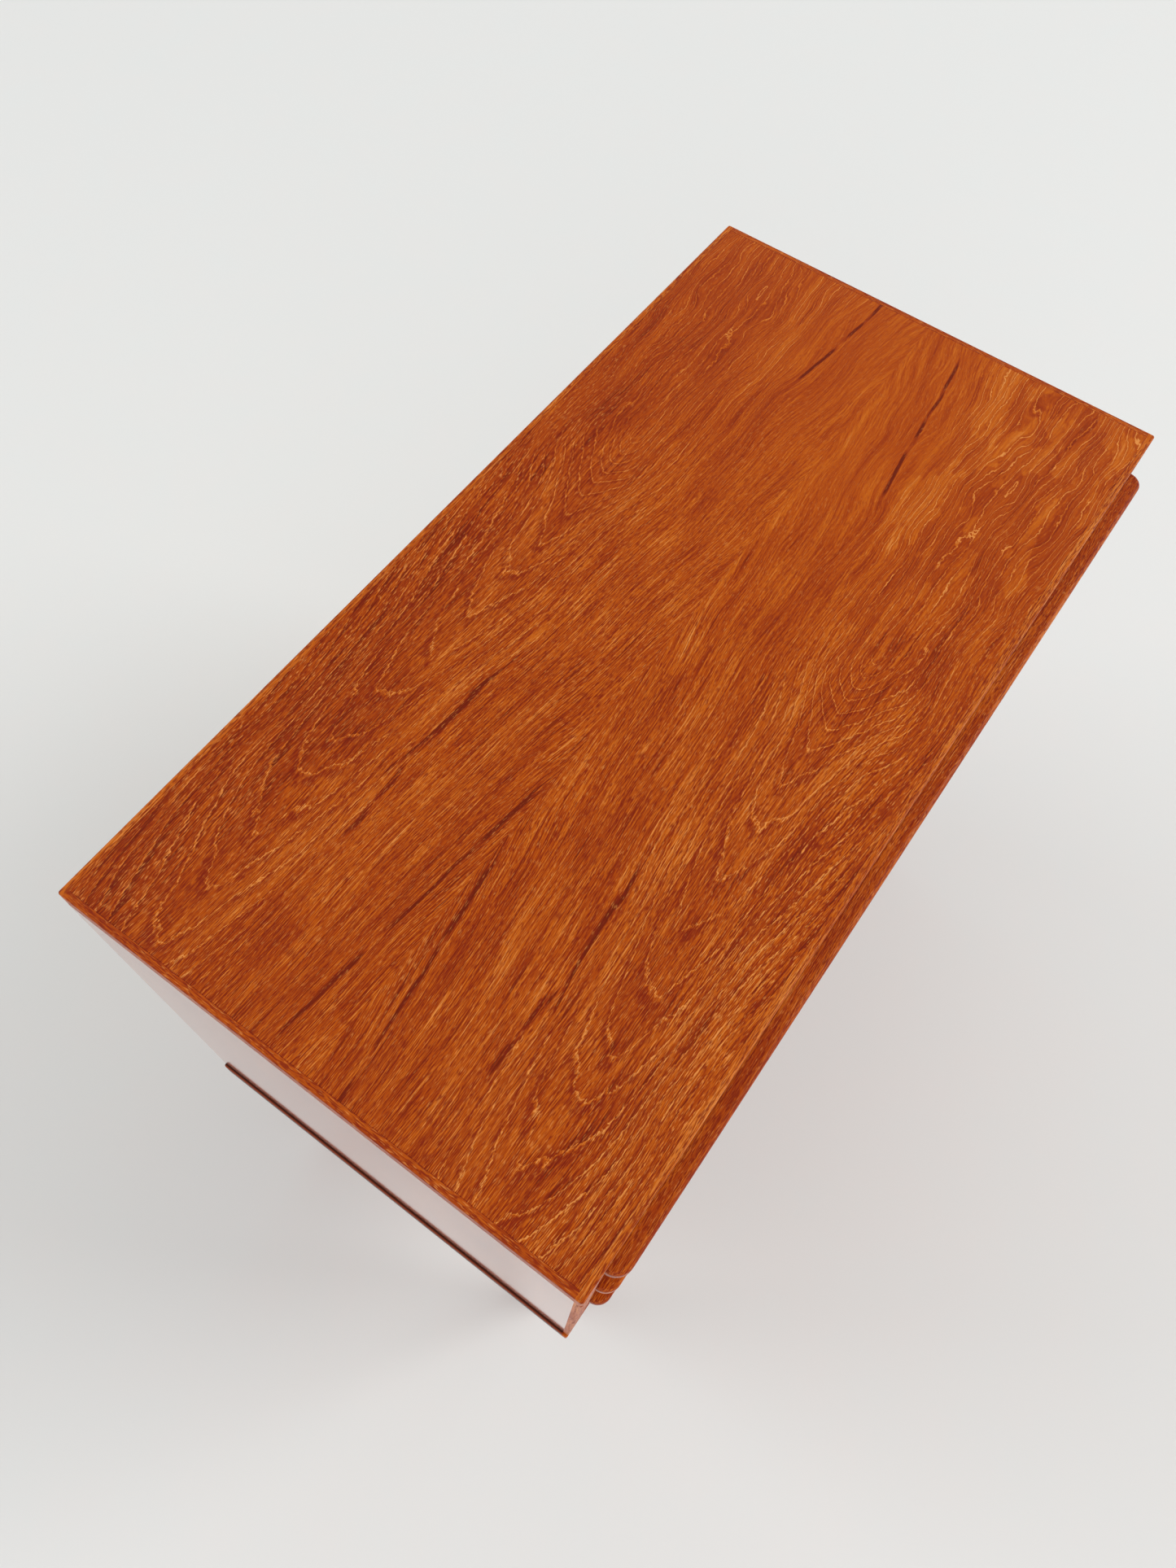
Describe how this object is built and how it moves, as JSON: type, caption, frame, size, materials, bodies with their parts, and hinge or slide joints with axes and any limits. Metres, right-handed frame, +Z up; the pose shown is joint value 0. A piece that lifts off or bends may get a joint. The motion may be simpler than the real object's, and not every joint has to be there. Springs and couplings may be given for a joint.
{
  "type": "sewing table",
  "caption": "Small teak sewing table: a veneered cabinet with lipped drawers that slide on side runners, on turned tapered legs.",
  "frame": {"origin": "on the floor under the middle of the table", "axes": "+X along the table's length, +Y towards its back, +Z up; the drawers open towards -Y"},
  "size_m": [0.604, 0.319, 0.58],
  "materials": {
    "teak_veneer": "book-matched teak veneer, satin lacquer",
    "teak_solid": "solid teak, satin lacquer",
    "stained_edge": "dark stained edge, satin",
    "beech": "planed beech, waxed",
    "plywood": "thin plywood, sanded",
    "steel": "bright zinc-plated, slotted",
    "glide": "dark nylon glide"
  },
  "bodies": {
    "carcass": {"top_panel": "teak_veneer", "top_lipping_front": "teak_solid", "top_lipping_back": "teak_solid", "top_lipping_left": "teak_solid", "top_lipping_right": "teak_solid", "side_panel_left": "teak_veneer", "side_panel_right": "teak_veneer", "side_lipping_left": "teak_solid", "side_lipping_right": "teak_solid", "bottom_panel": "teak_veneer", "bottom_lipping_front": "teak_solid", "bottom_edge_left": "stained_edge", "bottom_edge_right": "stained_edge", "back_panel": "plywood", "back_panel_screws": "steel", "runner_lower_left": "beech", "runner_lower_right": "beech", "runner_middle_left": "beech", "runner_middle_right": "beech", "runner_upper_left": "beech", "runner_upper_right": "beech", "runner_screws": "steel", "carcass_dowels": "beech", "leg_front_left": "teak_solid", "leg_front_right": "teak_solid", "leg_back_left": "teak_solid", "leg_back_right": "teak_solid", "rail_front": "teak_solid", "rail_back": "teak_solid", "rail_left": "teak_solid", "rail_right": "teak_solid", "corner_blocks": "beech", "base_screws": "steel", "foot_glides": "glide"},
    "drawer_lower": {"drawer_lower_front": "teak_veneer", "drawer_lower_lip": "teak_solid", "drawer_lower_side_left": "beech", "drawer_lower_side_right": "beech", "drawer_lower_back": "beech", "drawer_lower_bottom": "plywood", "drawer_lower_bottom_screws": "steel"},
    "drawer_middle": {"drawer_middle_front": "teak_veneer", "drawer_middle_lip": "teak_solid", "drawer_middle_side_left": "beech", "drawer_middle_side_right": "beech", "drawer_middle_back": "beech", "drawer_middle_bottom": "plywood", "drawer_middle_bottom_screws": "steel"},
    "drawer_upper": {"drawer_upper_front": "teak_veneer", "drawer_upper_lip": "teak_solid", "drawer_upper_side_left": "beech", "drawer_upper_side_right": "beech", "drawer_upper_back": "beech", "drawer_upper_bottom": "plywood", "drawer_upper_bottom_screws": "steel", "divider_left": "beech", "divider_right": "beech", "spool_board": "beech", "spool_pins": "beech"}
  },
  "joints": [
    {"name": "drawer_lower_slide", "type": "slide", "parent": "carcass", "child": "drawer_lower", "axis": [0, -1, 0], "range_m": [0, 0.2]},
    {"name": "drawer_middle_slide", "type": "slide", "parent": "carcass", "child": "drawer_middle", "axis": [0, -1, 0], "range_m": [0, 0.2]},
    {"name": "drawer_upper_slide", "type": "slide", "parent": "carcass", "child": "drawer_upper", "axis": [0, -1, 0], "range_m": [0, 0.2]}
  ]
}
